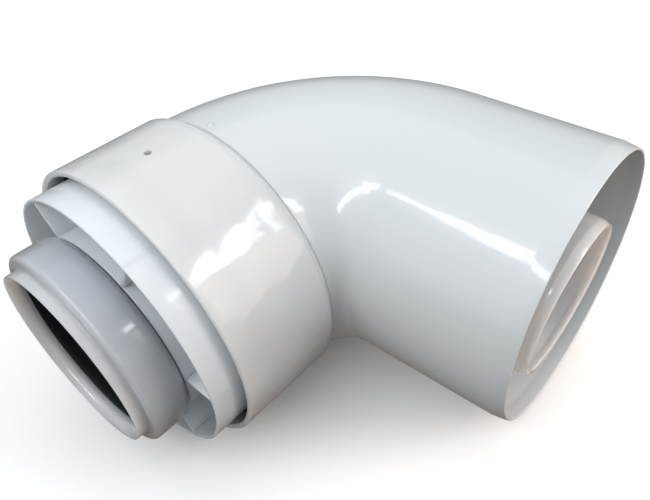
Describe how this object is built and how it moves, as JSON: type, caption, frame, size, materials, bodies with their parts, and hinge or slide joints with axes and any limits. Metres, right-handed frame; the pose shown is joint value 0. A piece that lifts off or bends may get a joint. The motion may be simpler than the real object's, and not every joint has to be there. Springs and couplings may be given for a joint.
{
  "type": "boiler flue elbow",
  "caption": "Coaxial elbow for a boiler flue: a plastic flue bend with a sealed socket, held by a spoked ring inside a white steel air bend with a plastic collar.",
  "frame": {"origin": "centre of the air bend's plain end face", "axes": "+Y out of the plain end along its axis, +Z square to the plane of the bend, socket opening towards +X and 2 degrees towards -Y"},
  "size_m": [0.1713, 0.1656, 0.1044],
  "materials": {
    "painted_steel": "gloss powder coat",
    "collar_plastic": "gloss moulded plastic",
    "seal_rubber": "black EPDM rubber",
    "ring_plastic": "gloss moulded plastic",
    "flue_plastic": "milky translucent polypropylene"
  },
  "bodies": {
    "air_duct": {"outer_bend": "painted_steel", "socket_collar": "collar_plastic", "air_seal": "seal_rubber", "centring_ring": "ring_plastic"},
    "flue_duct": {"flue_bend": "flue_plastic", "flue_seal": "seal_rubber"}
  },
  "joints": [
    {"name": "flue_bend_turn", "type": "hinge", "parent": "air_duct", "child": "flue_duct", "pos_m": [0.07995, -0.11263, 0], "axis": [0.9994, -0.0349, 0], "range_deg": [-6.8, 13.6]}
  ]
}
